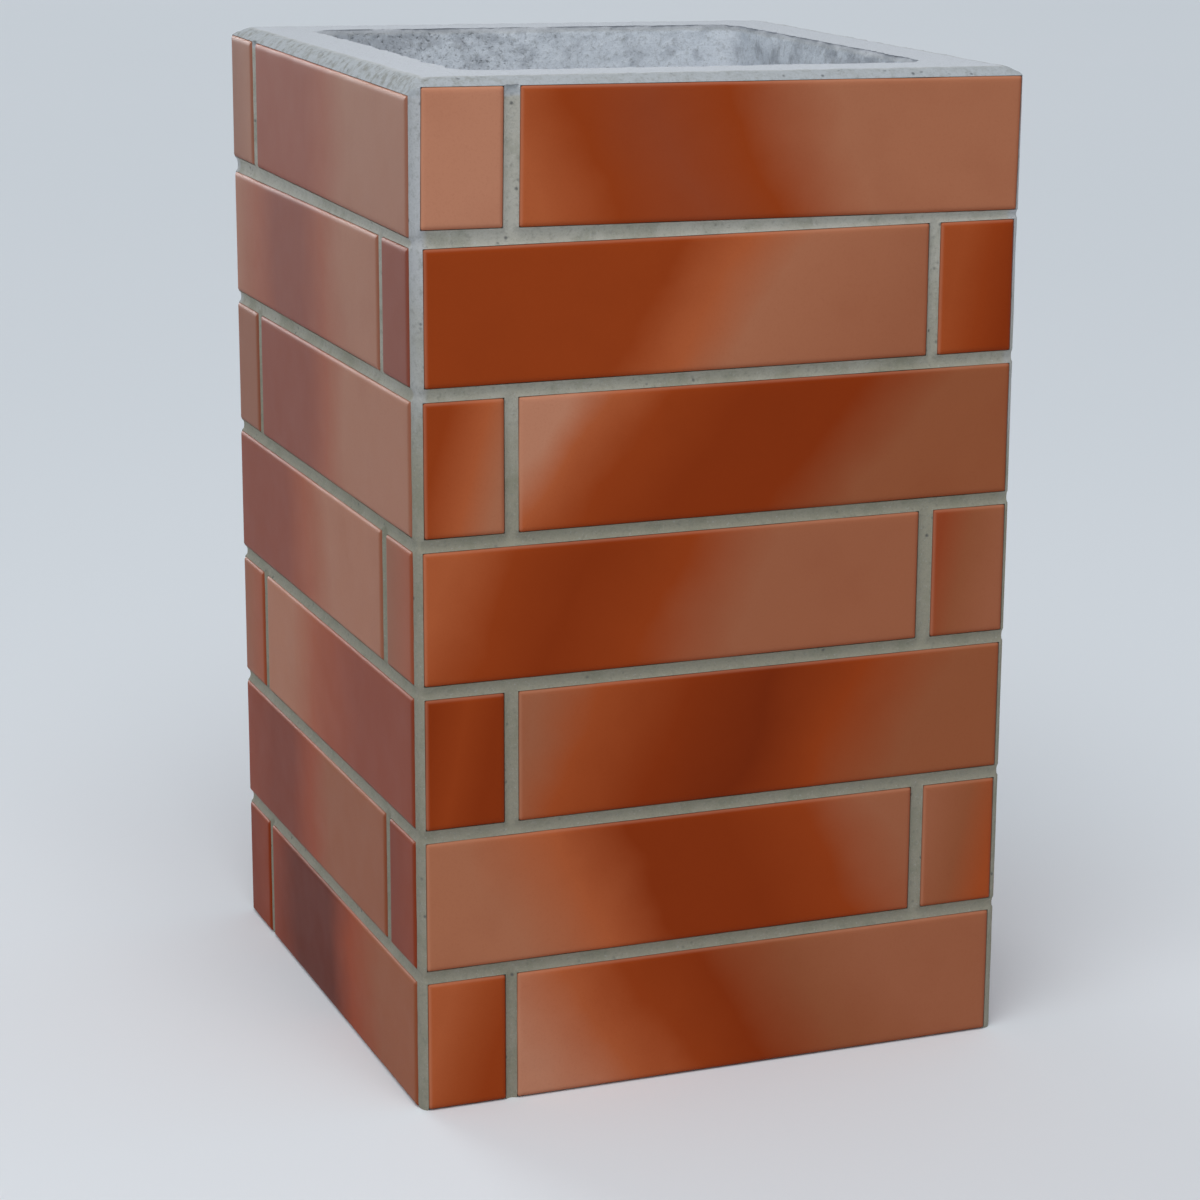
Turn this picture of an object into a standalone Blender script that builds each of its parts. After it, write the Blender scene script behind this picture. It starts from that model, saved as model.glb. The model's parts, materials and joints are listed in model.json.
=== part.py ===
"""A square concrete flue block: one cast casing with an open shaft from top to bottom, faced on all sides
with glazed clinker tiles. The tiles sit in shallow pockets of the casting, and the cement between them
stands a little behind their faces. Each course holds one stretcher and one header, turned about at every
other course. Metres, +Z up, with the origin at the middle of the underside."""

import math
from collections import namedtuple

import bmesh
import bpy
from mathutils import Matrix, Vector

# Facing tiles
TILE_HEIGHT = 0.0636
STRETCHER_LENGTH = 0.2525
HEADER_LENGTH = 0.0391
TILE_THICKNESS = 0.010
TILE_ARRIS = 0.0016
TILE_CORNER_RADIUS = 0.0022
TILE_STEPS = 2

# Cement joints. Each course's upright joint is set by hand, the bottom course first.
BED_JOINT = 0.0064
UPRIGHT_JOINTS = (0.0058, 0.0068, 0.0070, 0.0078, 0.0069, 0.0059, 0.0078)
JOINT_RECESS = 0.002
CORNER_STRIP = 0.0047

# The casting
WALL_THICKNESS = 0.0355
SHAFT_CORNER_RADIUS = 0.015
CASING_CORNER_RADIUS = 0.003
CORNER_STEPS = 4

# The rim over the top course. Its plane falls towards +X, as the casting was struck off a little askew.
RIM_LIP = 0.0020
RIM_RISE = 0.0042
RIM_SLOPE_WIDTH = 0.008
RIM_FALL = 0.004

# Fits
TILE_CLEARANCE = 0.0003
BASE_LIFT = 0.0006
CUTTER_OVERRUN = 0.01

# How the tiles of one side sit. The shifts run along the side, to the right as seen from outside, and the
# drops are those of the top course's two ends below the plane of the rim.
Side = namedtuple("Side", "name turn bottom_shift top_shift left_drop right_drop")
SIDES = (
    Side("front", 0, -0.0006, 0.0010, 0.0000, 0.0000),
    Side("right", 90, 0.0000, 0.0000, 0.0000, 0.0000),
    Side("back", 180, 0.0000, 0.0000, 0.0000, 0.0000),
    Side("left", 270, -0.0014, -0.0020, 0.0005, 0.0040),
)

COURSES = len(UPRIGHT_JOINTS)
COURSE_PITCH = TILE_HEIGHT + BED_JOINT
MEAN_UPRIGHT_JOINT = sum(UPRIGHT_JOINTS) / COURSES
BLOCK_WIDTH = HEADER_LENGTH + MEAN_UPRIGHT_JOINT + STRETCHER_LENGTH + 2 * CORNER_STRIP
CASING_WIDTH = BLOCK_WIDTH - 2 * JOINT_RECESS
SHAFT_WIDTH = BLOCK_WIDTH - 2 * WALL_THICKNESS
TILE_TOP = BASE_LIFT + COURSES * COURSE_PITCH - BED_JOINT

CONCRETE = (0.56, 0.60, 0.61)
STRETCHER_GLAZE = (0.45, 0.15, 0.06)
HEADER_GLAZE = (0.36, 0.10, 0.04)


def clear_scene():
    for obj in list(bpy.data.objects):
        bpy.data.objects.remove(obj)


def finish(name, colour, roughness):
    material = bpy.data.materials.new(name)
    material.use_nodes = True
    shader = material.node_tree.nodes["Principled BSDF"]
    shader.inputs["Base Color"].default_value = (*colour, 1)
    shader.inputs["Roughness"].default_value = roughness
    shader.inputs["Metallic"].default_value = 0
    material.diffuse_color = (*colour, 1)
    return material


def mesh_from(name, build):
    """A mesh made by build(bm), with its faces turned outwards."""
    bm = bmesh.new()
    build(bm)
    bmesh.ops.recalc_face_normals(bm, faces=bm.faces)
    mesh = bpy.data.meshes.new(name)
    bm.to_mesh(mesh)
    bm.free()
    return mesh


def add_object(name, mesh=None):
    """An object with this mesh, or an empty without one."""
    obj = bpy.data.objects.new(name, mesh)
    bpy.context.scene.collection.objects.link(obj)
    return obj


def rim_offset(x):
    """How far the rim's plane lies above its mean height at x."""
    return -RIM_FALL * x / BLOCK_WIDTH


def rectangle(low, high, radius=0.0, steps=0):
    """Points round a rectangle in its own plane, with rounded corners where a radius is given."""
    corners = ((high[0], high[1]), (low[0], high[1]), (low[0], low[1]), (high[0], low[1]))
    points = []
    for quarter, corner in enumerate(corners):
        turn = Matrix.Rotation(quarter * math.pi / 2, 2)
        centre = Vector(corner) - turn @ Vector((radius, radius))
        for step in range(steps + 1):
            angle = step * math.pi / 2 / steps if steps else math.pi / 4
            reach = radius if steps else radius * math.sqrt(2)
            points.append(centre + turn @ Vector((math.cos(angle), math.sin(angle))) * reach)
    return points


def loft(bm, rings, capped):
    """Skins rings of points, one after the other: capped at both ends, or joined from the last to the first."""
    rings = [[bm.verts.new(point) for point in ring] for ring in rings]
    following = rings[1:] if capped else rings[1:] + rings[:1]
    for ring, other in zip(rings, following):
        for i in range(len(ring)):
            j = (i + 1) % len(ring)
            bm.faces.new((ring[i], ring[j], other[j], other[i]))
    if capped:
        bm.faces.new(rings[0])
        bm.faces.new(rings[-1])


def casing_ring(width, radius, height_at):
    """A level or sloping section of the casing: a square with rounded corners, height_at(x) high."""
    half = width / 2
    points = rectangle((-half, -half), (half, half), radius, CORNER_STEPS)
    return [Vector((x, y, height_at(x))) for x, y in points]


def build_casing(bm):
    """The casing before its pockets are cut: up its outside, over the rim and down the shaft."""

    def underside(x):
        return 0.0

    def lip(x):
        return TILE_TOP + RIM_LIP + rim_offset(x)

    def top(x):
        return TILE_TOP + RIM_RISE + rim_offset(x)

    rings = (
        casing_ring(CASING_WIDTH, CASING_CORNER_RADIUS, underside),
        casing_ring(CASING_WIDTH, CASING_CORNER_RADIUS, lip),
        casing_ring(CASING_WIDTH - 2 * RIM_SLOPE_WIDTH, CASING_CORNER_RADIUS, top),
        casing_ring(SHAFT_WIDTH, SHAFT_CORNER_RADIUS, top),
        casing_ring(SHAFT_WIDTH, SHAFT_CORNER_RADIUS, underside),
    )
    loft(bm, rings, capped=False)


def tile_section(length, corner_end, depth, inset=0.0, mitre_start=JOINT_RECESS):
    """(low, high) of a tile's section at a depth behind its face. Its end at the block's corner is mitred
    from mitre_start on, so that the tiles of two sides clear each other. corner_end is -1 left, 1 right."""
    cut = max(depth - mitre_start, 0.0)
    half_length = length / 2 - inset
    half_height = TILE_HEIGHT / 2 - inset
    low = (-half_length + (cut if corner_end < 0 else 0), -half_height)
    high = (half_length - (cut if corner_end > 0 else 0), half_height)
    return low, high


def build_tile(bm, length, corner_end):
    """A tile with its face in the plane y = 0, its back towards +Y and its face's edges rounded."""
    rings = []
    for step in range(TILE_STEPS + 1):
        angle = step * math.pi / 2 / TILE_STEPS
        inset = TILE_ARRIS * (1 - math.sin(angle))
        depth = TILE_ARRIS * (1 - math.cos(angle))
        low, high = tile_section(length, corner_end, depth, inset)
        points = rectangle(low, high, TILE_CORNER_RADIUS - inset, TILE_STEPS)
        rings.append([Vector((x, depth, z)) for x, z in points])
    for depth in (JOINT_RECESS, TILE_THICKNESS):
        low, high = tile_section(length, corner_end, depth)
        points = rectangle(low, high, TILE_CORNER_RADIUS, TILE_STEPS)
        rings.append([Vector((x, depth, z)) for x, z in points])
    loft(bm, rings, capped=True)


Place = namedtuple("Place", "side course kind length corner_end along height tilt")


def tile_places():
    """Where every tile sits. along and height give the middle of its face in the side's own plane, from
    the side's middle and from the underside, and tilt raises its right end."""
    for side in SIDES:
        for course, joint in enumerate(UPRIGHT_JOINTS):
            row = HEADER_LENGTH + joint + STRETCHER_LENGTH
            shift = side.bottom_shift + (side.top_shift - side.bottom_shift) * course / (COURSES - 1)
            left_raise, right_raise = top_course_raises(side) if course == COURSES - 1 else (0.0, 0.0)
            slope = (right_raise - left_raise) / row
            kinds = (("header", HEADER_LENGTH, -1), ("stretcher", STRETCHER_LENGTH, 1))
            if course % 2:
                kinds = (("stretcher", STRETCHER_LENGTH, -1), ("header", HEADER_LENGTH, 1))
            for kind, length, corner_end in kinds:
                from_middle = corner_end * (row - length) / 2
                middle_raise = (left_raise + right_raise) / 2 + slope * from_middle
                height = BASE_LIFT + course * COURSE_PITCH + TILE_HEIGHT / 2 + middle_raise
                tilt = math.atan(slope)
                yield Place(side, course, kind, length, corner_end, shift + from_middle, height, tilt)


def top_course_raises(side):
    """How far the left and right ends of a side's top course are raised, so that it follows the rim."""
    turn = Matrix.Rotation(math.radians(side.turn), 2)
    left = turn @ Vector((-BLOCK_WIDTH / 2, -BLOCK_WIDTH / 2))
    right = turn @ Vector((BLOCK_WIDTH / 2, -BLOCK_WIDTH / 2))
    return rim_offset(left.x) - side.left_drop, rim_offset(right.x) - side.right_drop


def build_pockets(bm):
    """Cutters for the pockets: each tile's own form and its clearance. The lowest run out underneath."""
    mitre_start = JOINT_RECESS + (math.sqrt(2) - 1) * TILE_CLEARANCE
    for place in tile_places():
        turn = Matrix.Rotation(math.radians(place.side.turn), 4, "Z")
        seat = Matrix.Translation((place.along, -BLOCK_WIDTH / 2, place.height))
        seat = turn @ seat @ Matrix.Rotation(-place.tilt, 4, "Y")
        rings = []
        for depth in (-CUTTER_OVERRUN, mitre_start, TILE_THICKNESS + TILE_CLEARANCE):
            low, high = tile_section(place.length, place.corner_end, depth, -TILE_CLEARANCE, mitre_start)
            if place.course == 0:
                low = (low[0], low[1] - CUTTER_OVERRUN)
            rings.append([seat @ Vector((x, depth, z)) for x, z in rectangle(low, high)])
        loft(bm, rings, capped=True)


def make_casing():
    casing = add_object("concrete_casing", mesh_from("casing", build_casing))
    casing.data.materials.append(finish("concrete", CONCRETE, 0.9))
    cutters = add_object("pocket_cutters", mesh_from("pockets", build_pockets))
    cutters.hide_render = True
    cutters.display_type = "WIRE"
    pockets = casing.modifiers.new("pockets", "BOOLEAN")
    pockets.operation = "DIFFERENCE"
    pockets.solver = "EXACT"
    pockets.object = cutters


def tile_mesh(kind, length, corner_end, glaze):
    mesh = mesh_from(kind, lambda bm: build_tile(bm, length, corner_end))
    mesh.materials.append(glaze)
    mesh.shade_smooth()
    mesh.set_sharp_from_angle(angle=math.radians(50))
    return mesh


def make_tiles():
    glazes = {
        "stretcher": finish("stretcher_glaze", STRETCHER_GLAZE, 0.35),
        "header": finish("header_glaze", HEADER_GLAZE, 0.35),
    }
    lengths = {"stretcher": STRETCHER_LENGTH, "header": HEADER_LENGTH}
    meshes = {
        (kind, corner_end): tile_mesh(kind, length, corner_end, glazes[kind])
        for kind, length in lengths.items()
        for corner_end in (-1, 1)
    }
    faces = {}
    for side in SIDES:
        faces[side.name] = add_object(side.name + "_side")
        faces[side.name].rotation_euler.z = math.radians(side.turn)
    for place in tile_places():
        name = f"{place.side.name}_course_{place.course + 1}_{place.kind}"
        tile = add_object(name, meshes[place.kind, place.corner_end])
        tile.parent = faces[place.side.name]
        tile.location = (place.along, -BLOCK_WIDTH / 2, place.height)
        tile.rotation_euler.y = -place.tilt


clear_scene()
make_casing()
make_tiles()
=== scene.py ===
"""The looks of the concrete flue block: its weathered casting with the joints, the rim and the shaft, and
the flamed clinker tiles on its four sides. Metres, +Z up, with the origin at the middle of the underside."""

import json
import math
import random
from collections import namedtuple

import bmesh
import bpy
import numpy as np
from mathutils import Matrix, Vector, noise


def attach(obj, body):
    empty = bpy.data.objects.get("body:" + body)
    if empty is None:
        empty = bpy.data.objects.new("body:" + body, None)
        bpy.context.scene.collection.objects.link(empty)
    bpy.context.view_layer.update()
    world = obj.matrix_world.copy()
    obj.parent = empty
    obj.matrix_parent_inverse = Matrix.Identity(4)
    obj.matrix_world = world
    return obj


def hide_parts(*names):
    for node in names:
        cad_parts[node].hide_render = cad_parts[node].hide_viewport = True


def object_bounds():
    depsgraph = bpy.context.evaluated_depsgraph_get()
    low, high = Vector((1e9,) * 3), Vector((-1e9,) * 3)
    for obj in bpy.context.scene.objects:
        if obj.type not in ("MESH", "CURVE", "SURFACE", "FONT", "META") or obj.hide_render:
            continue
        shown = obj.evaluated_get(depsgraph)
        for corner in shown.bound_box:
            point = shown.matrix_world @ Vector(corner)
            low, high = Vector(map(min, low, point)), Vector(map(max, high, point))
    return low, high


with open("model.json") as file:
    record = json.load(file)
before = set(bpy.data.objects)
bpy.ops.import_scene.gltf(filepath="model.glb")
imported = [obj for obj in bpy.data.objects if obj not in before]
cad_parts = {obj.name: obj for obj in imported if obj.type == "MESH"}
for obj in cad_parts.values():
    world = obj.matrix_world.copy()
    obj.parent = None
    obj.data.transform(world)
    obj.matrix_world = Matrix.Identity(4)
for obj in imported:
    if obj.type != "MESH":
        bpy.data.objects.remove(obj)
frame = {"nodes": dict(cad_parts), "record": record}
cad_low, cad_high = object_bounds()

# The camera, from a fit to the edges of the tiles in the photograph
CAMERA_PLACE = Vector((-0.5994, -1.5405, 0.6288))
CAMERA_AIM = Vector((-0.0404, -0.0957, 0.2289))
CAMERA_ROLL = 0.0034
CAMERA_LENS = 98.26
SENSOR_WIDTH = 36.0

# Ripples are (scale, share) for each of the noises that are added up, a larger scale being finer

# The tiles: the soft roll of their edges, their corners, and how far their outlines waver
FACE_TOLERANCE = 0.0002
ROLL_WIDTH = 0.0034
ROLL_DEPTH = 0.0016
ROLL_POWER = 2.3
ROLL_STEPS = 8
TILE_CORNER_RADIUS = 0.0012
LEAST_RADIUS = 0.0004
TILE_CORNER_STEPS = 5
TILE_EDGE_STEP = 0.005
TILE_WAVER = 0.00018
WAVER_SCALE = 32.0
FACE_MARGIN = 0.009
TILE_SHARP_ANGLE = math.radians(60)

# The cement between the tiles, as depths behind their faces
JOINT_EDGE_DEPTH = 0.0011
JOINT_MIDDLE_DEPTH = 0.0026
JOINT_REACH = 0.0026
JOINT_WAVE = 0.0003
JOINT_RIPPLES = ((70, 1.0), (260, 0.6))
CORNER_DEPTH = 0.0020
CORNER_ROUNDING = 0.0030
POCKET_CLEARANCE = 0.00012
POCKET_DEPTH = 0.0104
MITRE_START = 0.0022
RUN_STEP = 0.0024
JOINT_STEPS = 5
BED_STEPS = 5
CORNER_STEPS = 6
RISE_STEPS = 26
CASING_SHARP_ANGLE = math.radians(70)

# The rim
SLOPE_WIDTH = 0.0075
SLOPE_EASE = 1.7
SLOPE_ROUGHNESS = 0.0011
SLOPE_RIPPLES = ((160, 1.0), (420, 0.7))
RIM_STEP = 0.0016
RIM_ROUGHNESS = 0.0005
RIM_RIPPLES = ((90, 0.5), (300, 0.3))
CHIP_MARGIN = 0.010
CHIP_DEPTH = 0.0022
LEFT_CHIP_DEPTH = 0.0052
LEFT_CHIP_REACH = 0.9
LEFT_CHIP_FADE = 6
CHIP_REACH = 0.0060
CHIP_RIPPLES = ((9, 0.55), (31, 0.35), (80, 0.25))

# The shaft
SHAFT_SEARCH = 0.8
SHAFT_ROUGHNESS = 0.0007
SHAFT_RIPPLES = ((95, 0.6), (270, 0.6))
SHAFT_TOP_ROWS = (0.0004, 0.0010, 0.0018, 0.0028, 0.0040, 0.0055, 0.0075)
SHAFT_FINE_DEPTH = 0.100
SHAFT_FINE_STEP = 0.0025
SHAFT_COARSE_STEP = 0.008

Side = namedtuple("Side", "name turn")
SIDES = [
    Side(name, Matrix.Rotation(quarter * math.pi / 2, 4, "Z"))
    for quarter, name in enumerate(("front", "right", "back", "left"))
]
LEFT = 3
FACE_PLANE = cad_high.x
FRONT_HEADERS = [name for name in frame["nodes"] if name.startswith("front_") and name.endswith("_header")]
COURSES = range(1, len(FRONT_HEADERS) + 1)

RIM_MOUNT = next(mount for mount in frame["record"]["mounts"] if mount["name"] == "rim")
RIM_FALL = RIM_MOUNT["axis"][0] / RIM_MOUNT["axis"][2]
RIM_HEIGHT = RIM_MOUNT["pos_m"][2] + RIM_FALL * RIM_MOUNT["pos_m"][0]


def rim_height(x):
    """The height of the rim's plane, which falls towards +X."""
    return RIM_HEIGHT - RIM_FALL * x


def measure_shaft():
    """Half the shaft's width and the radius of its corners."""
    points = np.abs([v.co[:2] for v in frame["nodes"]["concrete_casing"].data.vertices])
    inner = points[points.max(1) < SHAFT_SEARCH * FACE_PLANE]
    half = inner.max()
    beside_corner = inner[inner[:, 0] > half - FACE_TOLERANCE][:, 1].max()
    return half, half - beside_corner


SHAFT_HALF, SHAFT_RADIUS = measure_shaft()

Tile = namedtuple("Tile", "side course kind along height tilt length tall thickness cut corner_end")


def measure_tile(side, course, kind):
    """How a tile sits in its side's plane, worked out from its node's points."""
    node = frame["nodes"][f"{side.name}_course_{course}_{kind}"]
    points = np.array([side.turn.inverted() @ v.co for v in node.data.vertices])
    front, back = points[:, 1].min(), points[:, 1].max()
    face = np.unique(points[points[:, 1] < front + FACE_TOLERANCE][:, (0, 2)].round(6), axis=0)
    spread = np.cov((face - face.mean(0)).T)
    tilt = math.atan2(2 * spread[0, 1], spread[0, 0] - spread[1, 1]) / 2
    tilt -= round(tilt / (math.pi / 2)) * math.pi / 2
    turned = np.array(Matrix.Rotation(-tilt, 2))
    flat = points[:, (0, 2)] @ turned.T
    low, high = flat.min(0), flat.max(0)
    along, height = turned.T @ ((low + high) / 2)
    behind = flat[points[:, 1] > back - FACE_TOLERANCE][:, 0]
    cuts = behind.min() - low[0], high[0] - behind.max()
    corner_end = -1 if cuts[0] > cuts[1] else 1
    return Tile(side, course, kind, along, height, tilt, *(high - low), back - front, max(cuts), corner_end)


def course_tiles(side, course):
    """The two tiles of a course, the left one first."""
    pair = [measure_tile(side, course, kind) for kind in ("header", "stretcher")]
    return sorted(pair, key=lambda tile: tile.along)


TILES = {(side.name, course): course_tiles(side, course) for side in SIDES for course in COURSES}


class Wire:
    """A node's output in a material. Sums of wires and numbers add Math nodes."""

    def __init__(self, tree, socket=None):
        self.tree = tree
        self.socket = socket

    def node(self, kind, settings=None, sockets=None, output=0):
        """Adds any node: its settings first, then the values or wires of its sockets."""
        made = self.tree.nodes.new(kind)
        for name, value in (settings or {}).items():
            setattr(made, name, value)
        for name, value in (sockets or {}).items():
            if isinstance(value, Wire):
                self.tree.links.new(value.socket, made.inputs[name])
            else:
                made.inputs[name].default_value = value
        return Wire(self.tree, made.outputs[output])

    def maths(self, operation, *values):
        return self.node("ShaderNodeMath", {"operation": operation}, dict(enumerate(values)))

    def __add__(self, other):
        return self.maths("ADD", self, other)

    def __sub__(self, other):
        return self.maths("SUBTRACT", self, other)

    def __rsub__(self, other):
        return self.maths("SUBTRACT", other, self)

    def __mul__(self, other):
        return self.maths("MULTIPLY", self, other)

    def __truediv__(self, other):
        return self.maths("DIVIDE", self, other)

    __radd__ = __add__
    __rmul__ = __mul__

    def lower(self, other):
        return self.maths("MINIMUM", self, other)

    def higher(self, other):
        return self.maths("MAXIMUM", self, other)

    def size(self):
        return self.maths("ABSOLUTE", self)

    def rises(self, start, end):
        """0 below start, 1 above end, and a smooth step between them."""
        sockets = {"Value": self, "From Min": start, "From Max": end}
        return self.node("ShaderNodeMapRange", {"interpolation_type": "SMOOTHSTEP"}, sockets)

    def parts(self):
        """The three numbers of a vector."""
        return [self.node("ShaderNodeSeparateXYZ", None, {0: self}, i) for i in range(3)]

    def moved(self, offset):
        return self.node("ShaderNodeVectorMath", {"operation": "ADD"}, {0: self, 1: offset})

    def grain(self, scale, detail=2.0, roughness=0.5):
        """Noise about 0.5 at these coordinates."""
        sockets = {"Vector": self, "Scale": scale, "Detail": detail, "Roughness": roughness}
        return self.node("ShaderNodeTexNoise", None, sockets)

    def scattered(self, scale):
        """The distance to the nearest of scattered points."""
        return self.node("ShaderNodeTexVoronoi", None, {"Vector": self, "Scale": scale})

    def tinted(self, colour, share):
        """This colour with a share of another one over it."""
        return self.node("ShaderNodeMix", {"data_type": "RGBA"}, {0: share, 6: self, 7: (*colour, 1.0)}, 2)

    def coloured(self, *stops):
        """The colour that a ramp of (place, colour) stops gives this number."""
        wire = self.node("ShaderNodeValToRGB", None, {0: self})
        elements = wire.socket.node.color_ramp.elements
        for place, _ in stops[1:-1]:
            elements.new(place)
        for element, (place, colour) in zip(elements, stops):
            element.position = place
            element.color = (*colour, 1.0)
        return wire

    def bump(self, strength, distance, under=None):
        """A normal that treats this number as a height, over the normal of a coarser bump if given."""
        sockets = {"Height": self, "Strength": strength, "Distance": distance}
        if under:
            sockets["Normal"] = under
        return self.node("ShaderNodeBump", None, sockets)


def linear(red, green, blue):
    """A screen colour from 0 to 255 as Blender's linear one."""
    shares = (value / 255 for value in (red, green, blue))
    return tuple(s / 12.92 if s < 0.04045 else ((s + 0.055) / 1.055) ** 2.4 for s in shares)


def finish(name, paint, constants):
    """A material whose shader takes what paint(place) varies over the surface, and constants as they are."""
    material = bpy.data.materials.new(name)
    material.use_nodes = True
    tree = material.node_tree
    shader = tree.nodes["Principled BSDF"]
    for socket, value in constants.items():
        shader.inputs[socket].default_value = value
    place = Wire(tree).node("ShaderNodeTexCoord", output=3)
    for socket, wire in paint(place).items():
        tree.links.new(wire.socket, shader.inputs[socket])
    return material


# Colours of the glaze, from where the flame didn't reach to its middle
PALE = linear(190, 129, 101)
SALMON = linear(173, 109, 79)
FAWN = linear(161, 97, 68)
DUSTY = linear(151, 86, 55)
AMBER = linear(177, 91, 52)
ORANGE = linear(164, 76, 36)
BRICK = linear(150, 68, 37)
RUST = linear(153, 62, 21)
BROWN = linear(140, 52, 13)
DARK = linear(124, 43, 9)
# The darkest flame, made darker still as painted shade for the foot of the left side, which reflects little
# light
SHADED_EMBER = linear(98, 30, 4)
# Paler where the glaze thins at the edges, and partly a painted highlight along the top and left edges
THIN_GLAZE_HIGHLIGHT = linear(204, 142, 114)

# A painted sheen over the glaze of the left side, standing for the pale reflection it catches: none at the
# ground and this share of it at the rim
PAINTED_SHEEN = linear(140, 150, 148)
LEFT_SHEEN_SHARE = 0.24

# Colours of the concrete
HIGH_CEMENT = linear(176, 173, 163)
CEMENT = linear(149, 145, 129)
LOW_CEMENT = linear(146, 141, 126)
# Painted light on the corner strips, paler towards the top
LIT_STRIP_GREY = linear(180, 182, 186)
BLOOM = linear(194, 197, 203)
MOSS_GREY = linear(120, 122, 102)
SLOPE_MORTAR = linear(172, 176, 180)
SLOPE_STAIN = linear(134, 134, 126)
SHAFT_GREY = linear(224, 230, 238)
SHAFT_SHADE = linear(156, 160, 168)
GRIT = linear(112, 112, 104)
PIT = linear(74, 76, 78)

# The flames of the two sides in view: (lean, stops) for the left and for the right tile of each course. A
# stop is a share of the tile's length, from its left end as seen from outside, and the glaze's colour there.
# A lean over 0 moves the stops to the right towards the tile's bottom, and one under 0 to the left.
ALL_PALE = (0.0, ((0.0, PALE), (1.0, PALE)))
ALL_DARK = (0.0, ((0.0, DARK), (1.0, BROWN)))
ALL_BROWN = (0.0, ((0.0, BROWN), (1.0, BROWN)))
DUSTY_TO_ORANGE = (0.0, ((0.1, DUSTY), (1.0, ORANGE)))
FLAMES = {
    ("front", 7): (
        ALL_PALE,
        (0.10, ((0.0, AMBER), (0.14, RUST), (0.30, BRICK), (0.46, RUST), (0.66, SALMON), (1.0, SALMON))),
    ),
    ("front", 6): (
        (-0.18, ((0.0, RUST), (0.42, RUST), (0.55, AMBER), (0.67, SALMON), (1.0, FAWN))),
        (-0.3, ((0.2, ORANGE), (0.6, RUST), (1.0, BROWN))),
    ),
    ("front", 5): (
        (-0.45, ((0.1, RUST), (0.6, AMBER), (1.0, SALMON))),
        (-0.22, ((0.0, PALE), (0.10, AMBER), (0.22, RUST), (0.38, BROWN), (0.58, BROWN), (0.78, DUSTY))),
    ),
    ("front", 4): (
        (-0.1, ((0.0, AMBER), (0.12, RUST), (0.28, BROWN), (0.46, RUST), (0.66, FAWN), (0.9, FAWN))),
        (-0.3, ((0.0, BRICK), (0.4, DUSTY), (0.9, FAWN))),
    ),
    ("front", 3): (
        (-0.3, ((0.0, BROWN), (0.4, RUST), (0.8, BROWN))),
        (-0.12, ((0.0, FAWN), (0.10, ORANGE), (0.30, BROWN), (0.48, DARK), (0.64, RUST), (0.84, DUSTY))),
    ),
    ("front", 2): (
        (0.15, ((0.12, SALMON), (0.32, AMBER), (0.46, BROWN), (0.64, BROWN), (0.82, RUST), (1.0, FAWN))),
        (-0.4, ((0.0, FAWN), (0.5, DUSTY), (1.0, ORANGE))),
    ),
    ("front", 1): (
        (-0.5, ((0.1, AMBER), (0.5, ORANGE), (0.9, RUST))),
        (0.16, ((0.0, PALE), (0.16, AMBER), (0.28, RUST), (0.42, BROWN), (0.62, DUSTY), (0.8, FAWN))),
    ),
    ("left", 7): (
        (0.0, ((0.0, DUSTY), (1.0, SALMON))),
        (0.0, ((0.1, RUST), (0.36, RUST), (0.48, ORANGE), (0.62, SALMON), (1.0, SALMON))),
    ),
    ("left", 6): (
        (0.0, ((0.02, SALMON), (0.18, ORANGE), (0.32, BROWN), (0.5, BROWN), (0.64, ORANGE), (0.8, SALMON))),
        ALL_BROWN,
    ),
    ("left", 5): (
        (0.0, ((0.0, DUSTY), (1.0, DUSTY))),
        (0.0, ((0.1, BROWN), (0.34, BROWN), (0.48, ORANGE), (0.62, SALMON), (1.0, SALMON))),
    ),
    ("left", 4): (
        (0.0, ((0.1, BROWN), (0.36, BROWN), (0.50, ORANGE), (0.66, SALMON), (1.0, SALMON))),
        DUSTY_TO_ORANGE,
    ),
    ("left", 3): (
        DUSTY_TO_ORANGE,
        (0.0, ((0.0, SALMON), (0.2, SALMON), (0.36, ORANGE), (0.5, RUST), (0.64, BROWN), (0.9, BROWN))),
    ),
    ("left", 2): (
        (0.0, ((0.0, BROWN), (0.2, DARK), (0.36, DARK), (0.5, RUST), (0.62, DUSTY), (1.0, DUSTY))),
        ALL_DARK,
    ),
    ("left", 1): (
        ALL_DARK,
        # its dark middle partly painted shade
        (0.0, ((0.0, BROWN), (0.2, SHADED_EMBER), (0.44, SHADED_EMBER), (0.60, RUST), (0.78, DUSTY), (1.0, DUSTY))),
    ),
}
DEAL_SEED = 11


def deal_hidden_flames():
    """Gives the two sides that the photograph doesn't show the flames of other courses of the same bond."""
    dealer = random.Random(DEAL_SEED)
    for name in ("right", "back"):
        for odd in (0, 1):
            same_bond = [key for key in FLAMES if key[0] in ("front", "left") and key[1] % 2 == odd]
            courses = [course for course in COURSES if course % 2 == odd]
            for course, key in zip(courses, dealer.sample(same_bond, len(courses))):
                FLAMES[name, course] = FLAMES[key]


# How the glaze varies. Scales are in ripples per metre, and shares say how much of a tone lies over another
DRIFT_SCALE = 14.0
DRIFT = 0.14
FINE_DRIFT_SCALE = 50.0
FINE_DRIFT = 0.04
DUSK_SCALE = 30.0
SPECK_SCALE = 900.0
DUSK_SHARE = 0.10
ARRIS_START = 0.0003
# Top and left edges: the glaze thinning there, with a painted highlight
THIN_LIT_ARRIS = 0.0020
THIN_LIT_ARRIS_SHARE = 0.30
# Bottom and right edges: painted shade
SHADED_ARRIS = 0.0026
SHADED_ARRIS_SHARE = 0.35
TILES_APART = 40


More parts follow.
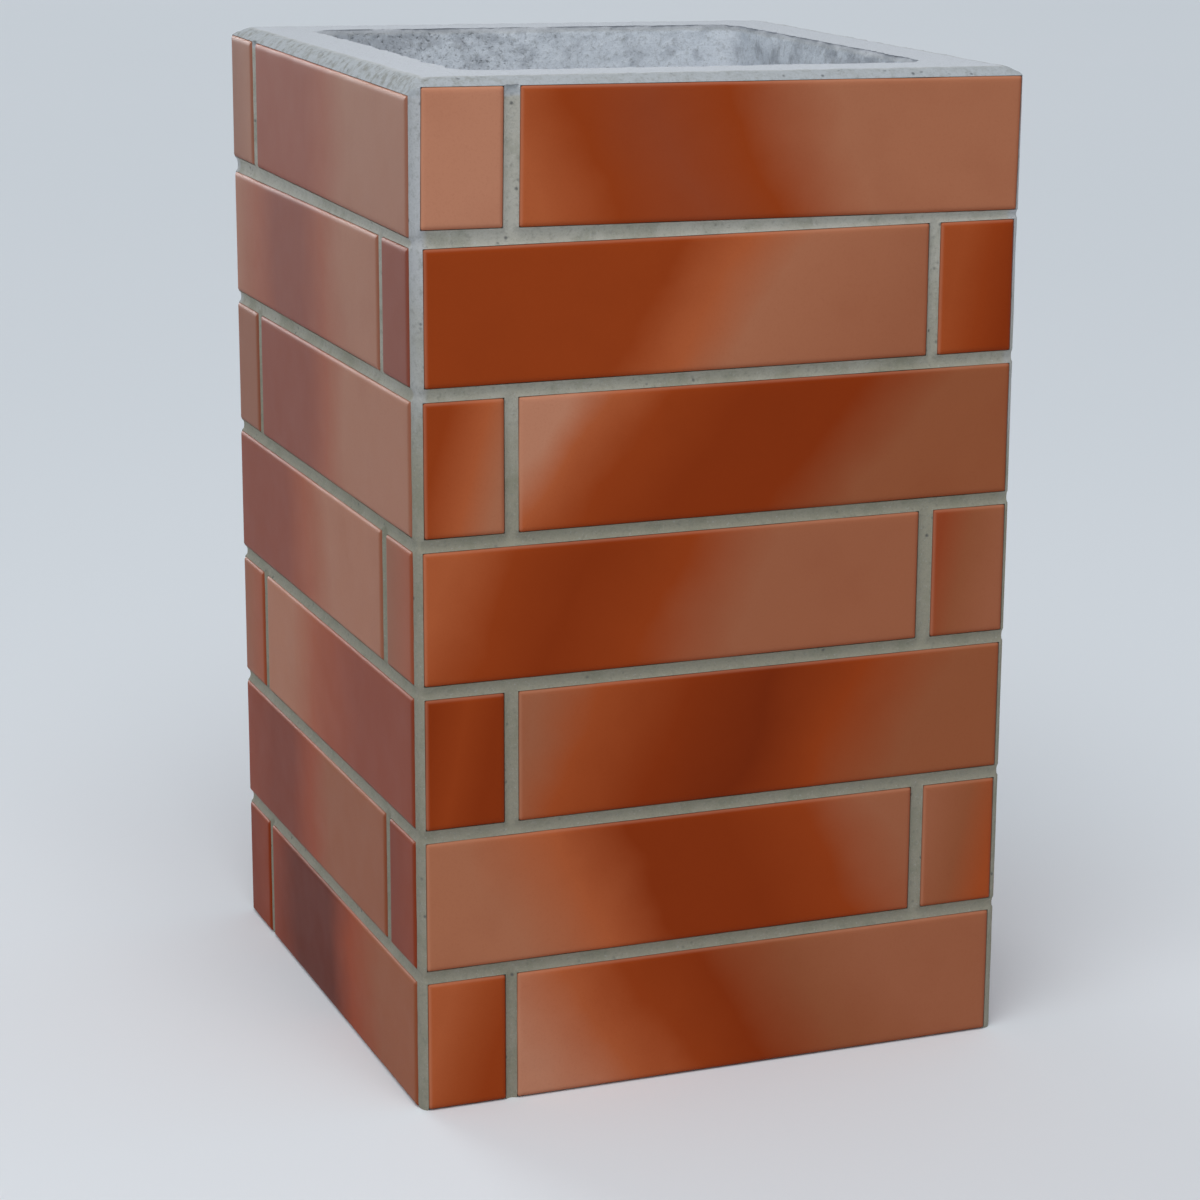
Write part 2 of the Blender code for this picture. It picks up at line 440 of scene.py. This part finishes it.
def glaze(tile, flame):
    """A satin glaze: salmon where it is light, rust brown in the flame, mostly with an orange fringe."""
    lean, stops = flame

    def paint(place):
        along, _, up = place.parts()
        own = place.moved((tile.course, tile.along * TILES_APART, ord(tile.side.name[0])))
        drift = (own.grain(DRIFT_SCALE) - 0.5) * DRIFT
        drift = drift + (own.grain(FINE_DRIFT_SCALE, 3.0) - 0.5) * FINE_DRIFT
        run = along / tile.length + 0.5 + up / tile.tall * lean + drift
        colour = run.coloured(*stops)
        # painted reflection: the left side's glaze turns paler and greyer towards the rim
        if tile.side.name == "left":
            colour = colour.tinted(PAINTED_SHEEN, LEFT_SHEEN_SHARE * tile.height / RIM_HEIGHT)
        colour = colour.tinted(DARK, own.grain(DUSK_SCALE, 3.0).rises(0.45, 0.8) * DUSK_SHARE)
        colour = colour.tinted(DARK, own.grain(SPECK_SCALE, 2.0, 0.7).rises(0.45, 0.85) * DUSK_SHARE)
        from_thin_lit_edges = (along + tile.length / 2).lower(tile.tall / 2 - up)
        from_shaded_edges = (tile.length / 2 - along).lower(up + tile.tall / 2)
        at_thin_lit_edges = 1 - from_thin_lit_edges.rises(ARRIS_START, THIN_LIT_ARRIS)
        at_shaded_edges = 1 - from_shaded_edges.rises(ARRIS_START, SHADED_ARRIS)
        # the glaze thinning at the top and left edges, with a painted highlight on them
        colour = colour.tinted(THIN_GLAZE_HIGHLIGHT, at_thin_lit_edges * THIN_LIT_ARRIS_SHARE)
        # painted shade along the bottom and right edges
        colour = colour.tinted(DARK, at_shaded_edges * SHADED_ARRIS_SHARE)
        relief = own.grain(24.0).bump(0.30, 0.002)
        return {
            "Base Color": colour,
            "Roughness": own.grain(45.0, 3.0) * 0.14 + 0.36,
            "Normal": own.grain(620.0).bump(0.06, 0.0004, relief),
        }

    return finish(f"glaze_{tile.side.name}_{tile.course}_{tile.kind}", paint, {"Specular IOR Level": 0.05})


# Where the concrete changes, from and to: outwards from the shaft's axis, or upwards to the rim's plane
SLOPE_BORDER = (FACE_PLANE - 0.0109, FACE_PLANE - 0.0064)
STRIP_BORDER = (FACE_PLANE - 0.0089, FACE_PLANE - 0.0054)
SHAFT_BORDER = (SHAFT_HALF + 0.010, SHAFT_HALF + 0.014)
SHAFT_TOP_BORDER = (-0.0040, -0.0012)
TILE_TOP_BORDER = (-0.0095, -0.0070)

# How the concrete varies
MOSS_SHARE = 0.35
LIT_STRIP_SHARE = 0.80
STAIN_SHARE = 0.25
LEFT_STAIN_SHARE = 0.45
SHAFT_SHADE_SHARE = 0.60
SAND_SHARE = 0.45
BRIGHT_GRAIN_SHARE = 0.35
GRIT_SHARE = 0.35
PIT_SHARE = 0.75
PORE_SHARE = 0.60


def concrete():
    """Grey-green cement in the joints, darker towards the ground, strips at the corners painted a paler grey
    towards the top as if lit from above, rough mortar round the top, a bluish-white bloom on the rim, and a
    sandy grey shaft, most porous on the left, with painted shade on its side walls and its left part."""

    def paint(place):
        x, y, z = place.parts()
        wander = place.grain(60.0, 4.0, 0.6) - 0.5
        from_axis = x.size().higher(y.size()) + wander * 0.005
        from_rim = z + x * RIM_FALL - RIM_HEIGHT + wander * 0.002
        in_shaft = (1 - from_axis.rises(*SHAFT_BORDER)) * (1 - from_rim.rises(*SHAFT_TOP_BORDER))
        above_tiles = from_rim.rises(*TILE_TOP_BORDER)
        on_slope = above_tiles * from_axis.rises(*SLOPE_BORDER)
        on_rim = above_tiles * (1 - on_slope) * (1 - in_shaft)
        on_strip = x.size().lower(y.size()).rises(*STRIP_BORDER)
        leftwards = x * -1

        cloud = place.grain(22.0, 4.0, 0.55)
        patches = place.grain(75.0, 4.0, 0.6)
        mottle = place.grain(190.0, 4.0, 0.65)
        coarse = place.grain(330.0, 3.0, 0.65)
        sand = place.grain(1100.0, 3.0, 0.7)
        bright_grains = place.moved((3.0, 0.0, 0.0)).grain(900.0, 3.0, 0.7).rises(0.56, 0.80)
        pits = (1 - place.scattered(190.0).rises(0.05, 0.24)) * place.grain(70.0).rises(0.50, 0.66)
        porous = (patches * 0.7 + (0.3 + leftwards * 2.5)).rises(0.42, 0.85)
        pores = place.grain(430.0, 4.0, 0.7).rises(0.53, 0.72) * porous

        height = (z / RIM_HEIGHT + (cloud - 0.5) * 0.5).rises(0.0, 1.0)
        colour = height.coloured((0.1, LOW_CEMENT), (0.7, CEMENT), (0.95, HIGH_CEMENT))
        colour = colour.tinted(MOSS_GREY, patches.rises(0.46, 0.70) * MOSS_SHARE)
        # painted light: the corner strips paler grey towards the top, darker lower down as if in shade
        colour = colour.tinted(LIT_STRIP_GREY, on_strip * height.rises(0.55, 1.0) * LIT_STRIP_SHARE)
        colour = colour.tinted(SLOPE_MORTAR, on_slope)
        stained = mottle.rises(0.44, 0.66) * (leftwards.rises(0.10, 0.14) * LEFT_STAIN_SHARE + STAIN_SHARE)
        colour = colour.tinted(SLOPE_STAIN, on_slope * stained)
        colour = colour.tinted(BLOOM, on_rim)
        colour = colour.tinted(SHAFT_GREY, in_shaft)
        # painted shade: the shaft's side walls and its left part darker than the far wall, in patches
        shaded = patches - y * 1.2 + leftwards * 0.7 + leftwards.rises(0.03, 0.11) * 0.2
        colour = colour.tinted(SHAFT_SHADE, in_shaft * shaded.rises(0.30, 0.56) * SHAFT_SHADE_SHARE)
        colour = colour.tinted(GRIT, sand.rises(0.50, 0.80) * SAND_SHARE)
        colour = colour.tinted(BLOOM, bright_grains * (1 - in_shaft) * BRIGHT_GRAIN_SHARE)
        colour = colour.tinted(GRIT, coarse.rises(0.50, 0.75) * (1 - on_rim * 0.8) * GRIT_SHARE)
        colour = colour.tinted(PIT, pits * (1 - in_shaft) * (1 - on_rim) * PIT_SHARE)
        colour = colour.tinted(PIT, pores * in_shaft * PORE_SHARE)
        body = coarse.bump(0.5, 0.0008)
        body = (pores * in_shaft + pits * (1 - in_shaft) * 0.6).bump(0.6, -0.0008, body)
        return {
            "Base Color": colour,
            "Roughness": cloud * 0.1 + 0.85,
            "Normal": sand.bump(0.45, 0.0004, body),
        }

    return finish("weathered_concrete", paint, {"Specular IOR Level": 0.25})


class Shell:
    """Points and faces of a mesh that is being built."""

    def __init__(self):
        self.points = []
        self.faces = []

    def add(self, points):
        """Adds points and gives their numbers."""
        first = len(self.points)
        self.points.extend(points)
        return list(range(first, len(self.points)))

    def skin(self, row, other):
        """Faces between two rows of as many points."""
        self.faces.extend(zip(row, row[1:], other[1:], other))

    def skin_round(self, ring, other):
        """Faces between two closed rings of as many points."""
        self.skin(ring + ring[:1], other + other[:1])

    def skin_halved(self, ring, other):
        """Faces between a closed ring and one of half as many points."""
        for i, j in enumerate(range(0, len(ring), 2)):
            following = (i + 1) % len(other)
            beyond = ring[(j + 2) % len(ring)]
            self.faces.append((ring[j], ring[j + 1], beyond, other[following], other[i]))

    def mesh(self, name, sharp_angle):
        """The closed mesh, with the open rings at its foot filled, shaded smooth but for its sharp edges."""
        mesh = bpy.data.meshes.new(name)
        mesh.from_pydata(self.points, [], self.faces)
        bm = bmesh.new()
        bm.from_mesh(mesh)
        open_edges = [edge for edge in bm.edges if edge.is_boundary]
        if open_edges:
            bmesh.ops.triangle_fill(bm, edges=open_edges, use_beauty=True)
        bmesh.ops.recalc_face_normals(bm, faces=bm.faces)
        bm.to_mesh(mesh)
        bm.free()
        mesh.shade_smooth()
        mesh.set_sharp_from_angle(angle=sharp_angle)
        return mesh


def piece(name, mesh, material, slot, *nodes):
    """A piece of the block that stands for these nodes."""
    made = bpy.data.objects.new(name, mesh)
    bpy.context.scene.collection.objects.link(made)
    mesh.materials.append(material)
    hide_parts(*nodes)
    return made


def outline(low, high, radius, divisions):
    """(point, outward direction) round a rectangle with rounded corners. divisions are those of its level
    and its upright edges."""
    spans = (high[0] - low[0] - 2 * radius, high[1] - low[1] - 2 * radius)
    corners = ((high[0], high[1]), (low[0], high[1]), (low[0], low[1]), (high[0], low[1]))
    points = []
    for quarter, corner in enumerate(corners):
        turn = Matrix.Rotation(quarter * math.pi / 2, 2)
        centre = Vector(corner) - turn @ Vector((radius, radius))
        for step in range(TILE_CORNER_STEPS + 1):
            angle = step * math.pi / 2 / TILE_CORNER_STEPS
            outward = turn @ Vector((math.cos(angle), math.sin(angle)))
            points.append((centre + outward * radius, outward))
        start, outward = points[-1]
        count = divisions[quarter % 2]
        for step in range(1, count):
            points.append((start + turn @ Vector((-spans[quarter % 2] * step / count, 0)), outward))
    return points


def build_tile(tile):
    """A tile with its face in the plane y = 0, from the face's middle outwards and round to its back."""
    half = Vector((tile.length, tile.tall)) / 2
    divisions = [max(4, round(span / TILE_EDGE_STEP)) for span in (tile.length, tile.tall)]
    seed = Vector((tile.along * 90, tile.course * 7.3, ord(tile.side.name[0])))
    wavers = [
        TILE_WAVER * (noise.noise(seed + Vector((*point, 0)) * WAVER_SCALE) - 0.5)
        for point, _ in outline(-half, half, TILE_CORNER_RADIUS, divisions)
    ]

    def section(depth, inset=0.0, cut=0.0):
        low, high = Vector((inset, inset)) - half, half - Vector((inset, inset))
        if tile.corner_end < 0:
            low.x += cut
        else:
            high.x -= cut
        edge = outline(low, high, max(TILE_CORNER_RADIUS - inset, LEAST_RADIUS), divisions)
        share = max(0.0, 1 - inset / FACE_MARGIN)
        moved = [point + outward * waver * share for (point, outward), waver in zip(edge, wavers)]
        return [Vector((x, depth, z)) for x, z in moved]

    rings = [section(0.0, FACE_MARGIN)]
    for step in range(ROLL_STEPS + 1):
        angle = step * math.pi / 2 / ROLL_STEPS
        inset = ROLL_WIDTH * (1 - math.sin(angle) ** (2 / ROLL_POWER))
        depth = ROLL_DEPTH * (1 - math.cos(angle) ** (2 / ROLL_POWER))
        rings.append(section(depth, inset))
    rings.append(section(tile.thickness - tile.cut))
    rings.append(section(tile.thickness, cut=tile.cut))

    shell = Shell()
    numbers = [shell.add(ring) for ring in rings]
    for ring, other in zip(numbers, numbers[1:]):
        shell.skin_round(ring, other)
    shell.faces += [numbers[0], numbers[-1]]
    return shell.mesh("tile", TILE_SHARP_ANGLE)


def make_tiles():
    deal_hidden_flames()
    for (side_name, course), pair in TILES.items():
        for tile, flame in zip(pair, FLAMES[side_name, course]):
            name = f"{tile.kind}_{side_name}_{course}"
            node = f"{side_name}_course_{course}_{tile.kind}"
            made = piece(name, build_tile(tile), glaze(tile, flame), "tile_glaze", node)
            seat = Matrix.Translation((tile.along, -FACE_PLANE, tile.height))
            made.matrix_world = tile.side.turn @ seat @ Matrix.Rotation(-tile.tilt, 4, "Y")
            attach(made, "root")


def pocket_corner(tile, across, up):
    """A corner of a tile's pocket in its side's plane: across is -1 or 1, left or right, and up -1 or 1."""
    reach = Vector((tile.length / 2 + POCKET_CLEARANCE, tile.tall / 2 + POCKET_CLEARANCE))
    corner = Vector((across * reach.x, up * reach.y))
    return Vector((tile.along, tile.height)) + Matrix.Rotation(tile.tilt, 2) @ corner


def mean_joint(side, odd):
    """Where the upright joints of a side's odd or even courses lie on the whole, left and right edge."""
    pairs = [TILES[side.name, course] for course in COURSES if course % 2 == odd]
    lefts = [pocket_corner(left, 1, 0).x for left, _ in pairs]
    rights = [pocket_corner(right, -1, 0).x for _, right in pairs]
    return sum(lefts) / len(lefts), sum(rights) / len(rights)


def column_steps():
    """Into how many columns a side is divided: a header's width, a joint, what lies between the two rows of
    upright joints, a joint and a header's width again."""
    left, right = TILES["front", 1]
    header, stretcher = sorted((left.length, right.length))
    return (
        round(header / RUN_STEP),
        JOINT_STEPS,
        round((stretcher - header) / RUN_STEP),
        JOINT_STEPS,
        round(header / RUN_STEP),
    )


COLUMN_STEPS = column_steps()
LAST_COLUMN = sum(COLUMN_STEPS)


def joint_columns(course):
    """The first and the last column of a course's upright joint."""
    start = COLUMN_STEPS[0] if course % 2 else sum(COLUMN_STEPS[:3])
    return start, start + JOINT_STEPS


def course_line(side, course, up):
    """The side's points along the foot (up = -1) or the head (up = 1) of a course, one for each column."""
    left, right = TILES[side.name, course]
    own = [pocket_corner(tile, across, up) for tile in (left, right) for across in (-1, 1)]
    other = mean_joint(side, 1 - course % 2)
    places = [corner.x for corner in own]
    breaks = [*places[:3], *other, places[3]] if course % 2 else [places[0], *other, *places[1:]]
    along = [np.linspace(a, b, n, endpoint=False) for a, b, n in zip(breaks, breaks[1:], COLUMN_STEPS)]
    along = np.append(np.concatenate(along), breaks[-1])
    heights = np.interp(along, places, [corner.y for corner in own])
    if course == 1 and up < 0:
        heights[:] = 0.0
    return np.column_stack((along, heights))


def side_lines(side):
    """(course, points) for every row of points over a side, upwards. A bed joint's rows have no course."""
    lines = []
    for course in COURSES:
        foot, head = course_line(side, course, -1), course_line(side, course, 1)
        if lines:
            below = lines[-1][1]
            lines += [(None, below + (foot - below) * step / BED_STEPS) for step in range(1, BED_STEPS)]
        lines += [(course, foot + (head - foot) * step / RISE_STEPS) for step in range(RISE_STEPS + 1)]
    return lines


def reach_to_tiles(side, points):
    """How far points in a side's plane lie from its nearest tile."""
    nearest = np.full(len(points), np.inf)
    for course in COURSES:
        for tile in TILES[side.name, course]:
            turned = (points - (tile.along, tile.height)) @ np.array(Matrix.Rotation(tile.tilt, 2))
            beyond = np.abs(turned) - (tile.length / 2 + POCKET_CLEARANCE, tile.tall / 2 + POCKET_CLEARANCE)
            nearest = np.minimum(nearest, np.hypot(*np.maximum(beyond, 0).T))
    return nearest


def rippled(spot, ripples):
    """The height of ripples at a spot."""
    return sum(share * noise.noise(spot * scale) for scale, share in ripples)


def joint_depth(reach, spot):
    """How far the cement stands behind the tiles' faces: hollow between them, and a little uneven."""
    inner = min(reach / JOINT_REACH, 1.0)
    hollow = (JOINT_MIDDLE_DEPTH - JOINT_EDGE_DEPTH) * (1 - (1 - inner) ** 2)
    return JOINT_EDGE_DEPTH + hollow + JOINT_WAVE * rippled(spot, JOINT_RIPPLES) * (0.4 + 0.6 * inner)


def side_point(side, along, height, depth):
    return side.turn @ Vector((along, depth - FACE_PLANE, height))


def skin_side(shell, side):
    """The cement of a side and the pockets in it. Gives the numbers of the points of its rows by column."""
    rows = []
    lines = side_lines(side)
    courses = [1] + [course for course, _ in lines] + [None]
    for index, (course, points) in enumerate(lines):
        columns = range(LAST_COLUMN + 1)
        if course and courses[index] == course == courses[index + 2]:
            first, last = joint_columns(course)
            columns = [0, *range(first, last + 1), LAST_COLUMN]
        reaches = reach_to_tiles(side, points)
        row = {}
        for column in columns:
            along, height = points[column]
            depth = joint_depth(reaches[column], side_point(side, along, height, 0))
            row[column] = shell.add([side_point(side, along, height, depth)])[0]
        rows.append(row)
    for (course, _), (next_course, _), row, other in zip(lines, lines[1:], rows, rows[1:]):
        first, last = (0, LAST_COLUMN) if course != next_course or course is None else joint_columns(course)
        columns = range(first, last + 1)
        shell.skin([row[c] for c in columns], [other[c] for c in columns])
    for course in COURSES:
        cut_pockets(shell, side, course, lines, rows)
    return rows


def cut_pockets(shell, side, course, lines, rows):
    """The walls and the floor of the two pockets of a course. Those of the lowest are open underneath."""
    own = [i for i, (line_course, _) in enumerate(lines) if line_course == course]
    first, last = joint_columns(course)
    for tile, (start, end) in zip(TILES[side.name, course], ((0, first), (last, LAST_COLUMN))):
        loop = [(i, start) for i in own]
        loop += [(own[-1], column) for column in range(start + 1, end)]
        loop += [(i, end) for i in reversed(own)]
        closed = course > 1
        if closed:
            loop += [(own[0], column) for column in range(end - 1, start, -1)]
        corner_column = start if tile.corner_end < 0 else end
        far = pocket_corner(tile, -tile.corner_end, 0).x
        shrink = 1 - (tile.cut - POCKET_CLEARANCE) / (tile.length + 2 * POCKET_CLEARANCE)
        chains = []
        for i, column in loop:
            along, height = lines[i][1][column]
            inner = side_point(side, far + (along - far) * shrink, height, POCKET_DEPTH)
            middle = [side_point(side, along, height, MITRE_START)] if column == corner_column else []
            chains.append([rows[i][column], *shell.add([*middle, inner])])
        following = chains[1:] + chains[:1] if closed else chains[1:]
        for chain, other in zip(chains, following):
            if len(chain) == len(other):
                shell.skin(chain, other)
            else:
                shell.faces.append([*chain, *reversed(other)])
        shell.faces.append([chain[-1] for chain in chains])


def skin_corner(shell, side, row, row_beyond):
    """One row of the rounded strip between the last column of one side and the first one of the next."""
    start, end = shell.points[row[LAST_COLUMN]], shell.points[row_beyond[0]]
    height = (start.z + end.z) / 2
    wave = JOINT_WAVE * noise.noise(Vector((start.x, start.y, height)) * 90)
    corner = side_point(side, FACE_PLANE - CORNER_DEPTH - wave, height, CORNER_DEPTH + wave)
    points = []
    for step in range(1, CORNER_STEPS):
        share = step / CORNER_STEPS
        point = start.lerp(corner, share).lerp(corner.lerp(end, share), share)
        point.z = start.z + (end.z - start.z) * share
        points.append(point)
    return [row[LAST_COLUMN], *shell.add(points), row_beyond[0]]


def ring_place(half, radius, turn):
    """(point, inward direction) on a square with rounded corners, turn being 0 at the middle of the front
    and 2 more at the middle of each following side."""
    quarter = math.floor((turn + 1) / 2)
    straight = half - radius
    run = (turn - 2 * quarter) * (straight + radius * math.pi / 4)
    angle = max(abs(run) - straight, 0.0) / radius
    across = min(abs(run), straight) + radius * math.sin(angle)
    outward = Vector((math.copysign(math.sin(angle), run), -math.cos(angle), 0))
    point = Vector((math.copysign(across, run), -straight - radius * math.cos(angle), 0))
    spin = SIDES[quarter % 4].turn
    return spin @ point, -(spin @ outward)


def chip_at(turn):
    """How far the shaft's upper edge is broken back at a place round it, most of all on the left."""
    angle = turn * math.pi / 4
    spot = Vector((math.cos(angle), math.sin(angle), 0.3))
    leftness = max(0.0, 1 - max(0.0, abs(turn - 2 * LEFT) - LEFT_CHIP_REACH) * LEFT_CHIP_FADE)
    deepest = CHIP_DEPTH + (LEFT_CHIP_DEPTH - CHIP_DEPTH) * leftness
    return deepest * min(1.0, max(0.0, 0.28 + rippled(spot, CHIP_RIPPLES)))


def skin_rim(shell, ring, turns):
    """The rim from the tiles' tops inwards: rough mortar up a slope, and a flat band to the shaft's edge."""
    lips = [shell.points[number].z for number in ring]
    wall = FACE_PLANE - SHAFT_HALF
    count = round((wall - MITRE_START) / RIM_STEP)
    insets = [MITRE_START + (wall - MITRE_START) * (step / count) for step in range(count + 1)]
    insets[:0] = [(JOINT_EDGE_DEPTH + MITRE_START) / 2]
    for inset in insets:
        share = inset / wall
        radius = CORNER_ROUNDING + (SHAFT_RADIUS - CORNER_ROUNDING) * share
        points = []
        for turn, lip in zip(turns, lips):
            chipped = inset - chip_at(turn) * max(0.0, 1 - (wall - inset) / CHIP_MARGIN) ** 2
            point, _ = ring_place(FACE_PLANE - chipped, radius, turn)
            slope = min(1.0, (inset - JOINT_EDGE_DEPTH) / SLOPE_WIDTH)
            climb = 1 - (1 - slope) ** SLOPE_EASE
            level = rim_height(point.x)
            spot = Vector((point.x, point.y, 0.1))
            bell = SLOPE_ROUGHNESS * 4 * climb * (1 - climb)
            sunk = RIM_ROUGHNESS * (0.5 + rippled(spot, RIM_RIPPLES))
            rough = bell * rippled(spot, SLOPE_RIPPLES) - max(0.0, sunk) * climb
            point.z = lip + (level - lip) * climb + rough
            points.append(point)
        following = shell.add(points)
        shell.skin_round(ring, following)
        ring = following
    return ring


def shaft_offset(turn, depth, point):
    """How far the shaft's wall stands back from its true plane: chips near the edge, pores further down."""
    chip = chip_at(turn)
    reach = CHIP_REACH * (0.35 + chip / LEFT_CHIP_DEPTH)
    broken = chip * max(0.0, 1 - depth / reach) ** 1.3
    return broken + SHAFT_ROUGHNESS * max(0.0, 0.5 + rippled(point, SHAFT_RIPPLES))


def skin_shaft(shell, ring, turns):
    """The shaft's wall, fine near the rim and coarser below, down to the underside."""
    start = SHAFT_TOP_ROWS[-1]
    fine_rows = round((SHAFT_FINE_DEPTH - start) / SHAFT_FINE_STEP)
    depths = [*SHAFT_TOP_ROWS, *(start + SHAFT_FINE_STEP * (row + 1) for row in range(fine_rows))]

    def wall_ring(depth, share, places):
        """The wall's points at a depth below the rim, or below the fine part a share of the way down."""
        points = []
        for turn in places:
            flat, inward = ring_place(SHAFT_HALF, SHAFT_RADIUS, turn)
            height = (rim_height(flat.x) - depth) * (1 - share)
            spot = Vector((flat.x, flat.y, height))
            offset = shaft_offset(turn, depth, spot) if height > 0 else 0.0
            points.append(spot - inward * offset)
        return shell.add(points)

    for depth in depths:
        following = wall_ring(depth, 0.0, turns)
        shell.skin_round(ring, following)
        ring = following
    coarse_turns = turns[::2]
    rest = RIM_HEIGHT - depths[-1]
    rows = round(rest / SHAFT_COARSE_STEP)
    for row in range(1, rows + 1):
        following = wall_ring(depths[-1], row / rows, coarse_turns)
        if row == 1:
            shell.skin_halved(ring, following)
        else:
            shell.skin_round(ring, following)
        ring = following


def make_casing():
    """The casting in one closed mesh: the cement of the four sides with the tiles' pockets, the strips at
    the corners, the rim and the shaft."""
    shell = Shell()
    sides = [skin_side(shell, side) for side in SIDES]
    ring, turns = [], []
    half_path = FACE_PLANE - CORNER_ROUNDING + CORNER_ROUNDING * math.pi / 4
    for quarter, (side, rows) in enumerate(zip(SIDES, sides)):
        beyond = (quarter + 1) % len(SIDES)
        strips = [skin_corner(shell, side, row, row_beyond) for row, row_beyond in zip(rows, sides[beyond])]
        for strip, other in zip(strips, strips[1:]):
            shell.skin(strip, other)
        head = rows[-1]
        inverse = side.turn.inverted()
        columns = range(LAST_COLUMN + 1)
        places = [2 * quarter + (inverse @ shell.points[head[c]]).x / half_path for c in columns]
        first_beyond = SIDES[beyond].turn.inverted() @ shell.points[sides[beyond][-1][0]]
        end = 2 * (quarter + 1) + first_beyond.x / half_path
        ring += [head[c] for c in columns] + strips[-1][1:-1]
        last = places[-1]
        turns += places + [last + (end - last) * step / CORNER_STEPS for step in range(1, CORNER_STEPS)]
    edge = skin_rim(shell, ring, turns)
    skin_shaft(shell, edge, turns)
    mesh = shell.mesh("casing", CASING_SHARP_ANGLE)
    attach(piece("casing", mesh, concrete(), "concrete", "concrete_casing"), "root")


# The studio
FLOOR_HALF = 40.0
FLOOR_COLOUR = linear(231, 234, 238)
FLOOR_CLOUD = linear(234, 236, 240)
AIR_COLOUR = (0.84, 0.93, 1.0)
AIR_STRENGTH = 0.42
Sky = namedtuple("Sky", "name direction spread strength colour")
SKIES = (
    Sky("high_sky", (0.26, 0.56, -0.79), math.radians(60), 1.0, (1.0, 1.0, 1.0)),
    Sky("low_sky", (1.0, -4.2, -0.9), math.radians(25), 1.2, (0.93, 0.97, 1.0)),
)
SKY_PLACE = Vector((0.0, 0.0, 2.0))
SOFTBOX_PLACE = Vector((-0.25, -0.55, 1.55))
SOFTBOX_AIM = Vector((0.0, 0.0, 0.35))
SOFTBOX_SIZE = 0.9
SOFTBOX_POWER = 5.0
SOFTBOX_COLOUR = (1.0, 0.99, 0.97)


def floor_paint(place):
    return {"Base Color": place.grain(0.6).coloured((0.0, FLOOR_COLOUR), (1.0, FLOOR_CLOUD))}


def hang_lamp(light, place, direction):
    lamp = bpy.data.objects.new(light.name, light)
    lamp.location = place
    lamp.rotation_euler = direction.to_track_quat("-Z", "Y").to_euler()
    bpy.context.scene.collection.objects.link(lamp)


def make_studio():
    """A plain pale floor, pale air, a broad high sky, a low one from behind, and one softbox."""
    shell = Shell()
    corners = ((-1, -1), (1, -1), (1, 1), (-1, 1))
    shell.faces.append(shell.add([Vector((x * FLOOR_HALF, y * FLOOR_HALF, 0.0)) for x, y in corners]))
    mesh = bpy.data.meshes.new("floor")
    mesh.from_pydata(shell.points, [], shell.faces)
    floor = bpy.data.objects.new("floor", mesh)
    bpy.context.scene.collection.objects.link(floor)
    mesh.materials.append(finish("pale_floor", floor_paint, {"Roughness": 0.9, "Specular IOR Level": 0.1}))

    air = bpy.data.worlds.new("air")
    air.use_nodes = True
    background = air.node_tree.nodes["Background"]
    background.inputs["Color"].default_value = (*AIR_COLOUR, 1.0)
    background.inputs["Strength"].default_value = AIR_STRENGTH
    bpy.context.scene.world = air
    for sky in SKIES:
        light = bpy.data.lights.new(sky.name, "SUN")
        light.energy = sky.strength
        light.angle = sky.spread
        light.color = sky.colour
        hang_lamp(light, SKY_PLACE, Vector(sky.direction))
    softbox = bpy.data.lights.new("softbox", "AREA")
    softbox.shape = "DISK"
    softbox.size = SOFTBOX_SIZE
    softbox.energy = SOFTBOX_POWER
    softbox.color = SOFTBOX_COLOUR
    hang_lamp(softbox, SOFTBOX_PLACE, SOFTBOX_AIM - SOFTBOX_PLACE)


def make_camera():
    data = bpy.data.cameras.new("camera")
    data.lens = CAMERA_LENS
    data.sensor_width = SENSOR_WIDTH
    data.clip_end = 4 * FLOOR_HALF
    camera = bpy.data.objects.new("camera", data)
    look = (CAMERA_AIM - CAMERA_PLACE).to_track_quat("-Z", "Y").to_matrix().to_4x4()
    camera.matrix_world = Matrix.Translation(CAMERA_PLACE) @ look @ Matrix.Rotation(CAMERA_ROLL, 4, "Z")
    bpy.context.scene.collection.objects.link(camera)
    bpy.context.scene.camera = camera
    bpy.context.scene.view_settings.view_transform = "Standard"


make_camera()
make_studio()
make_casing()
make_tiles()
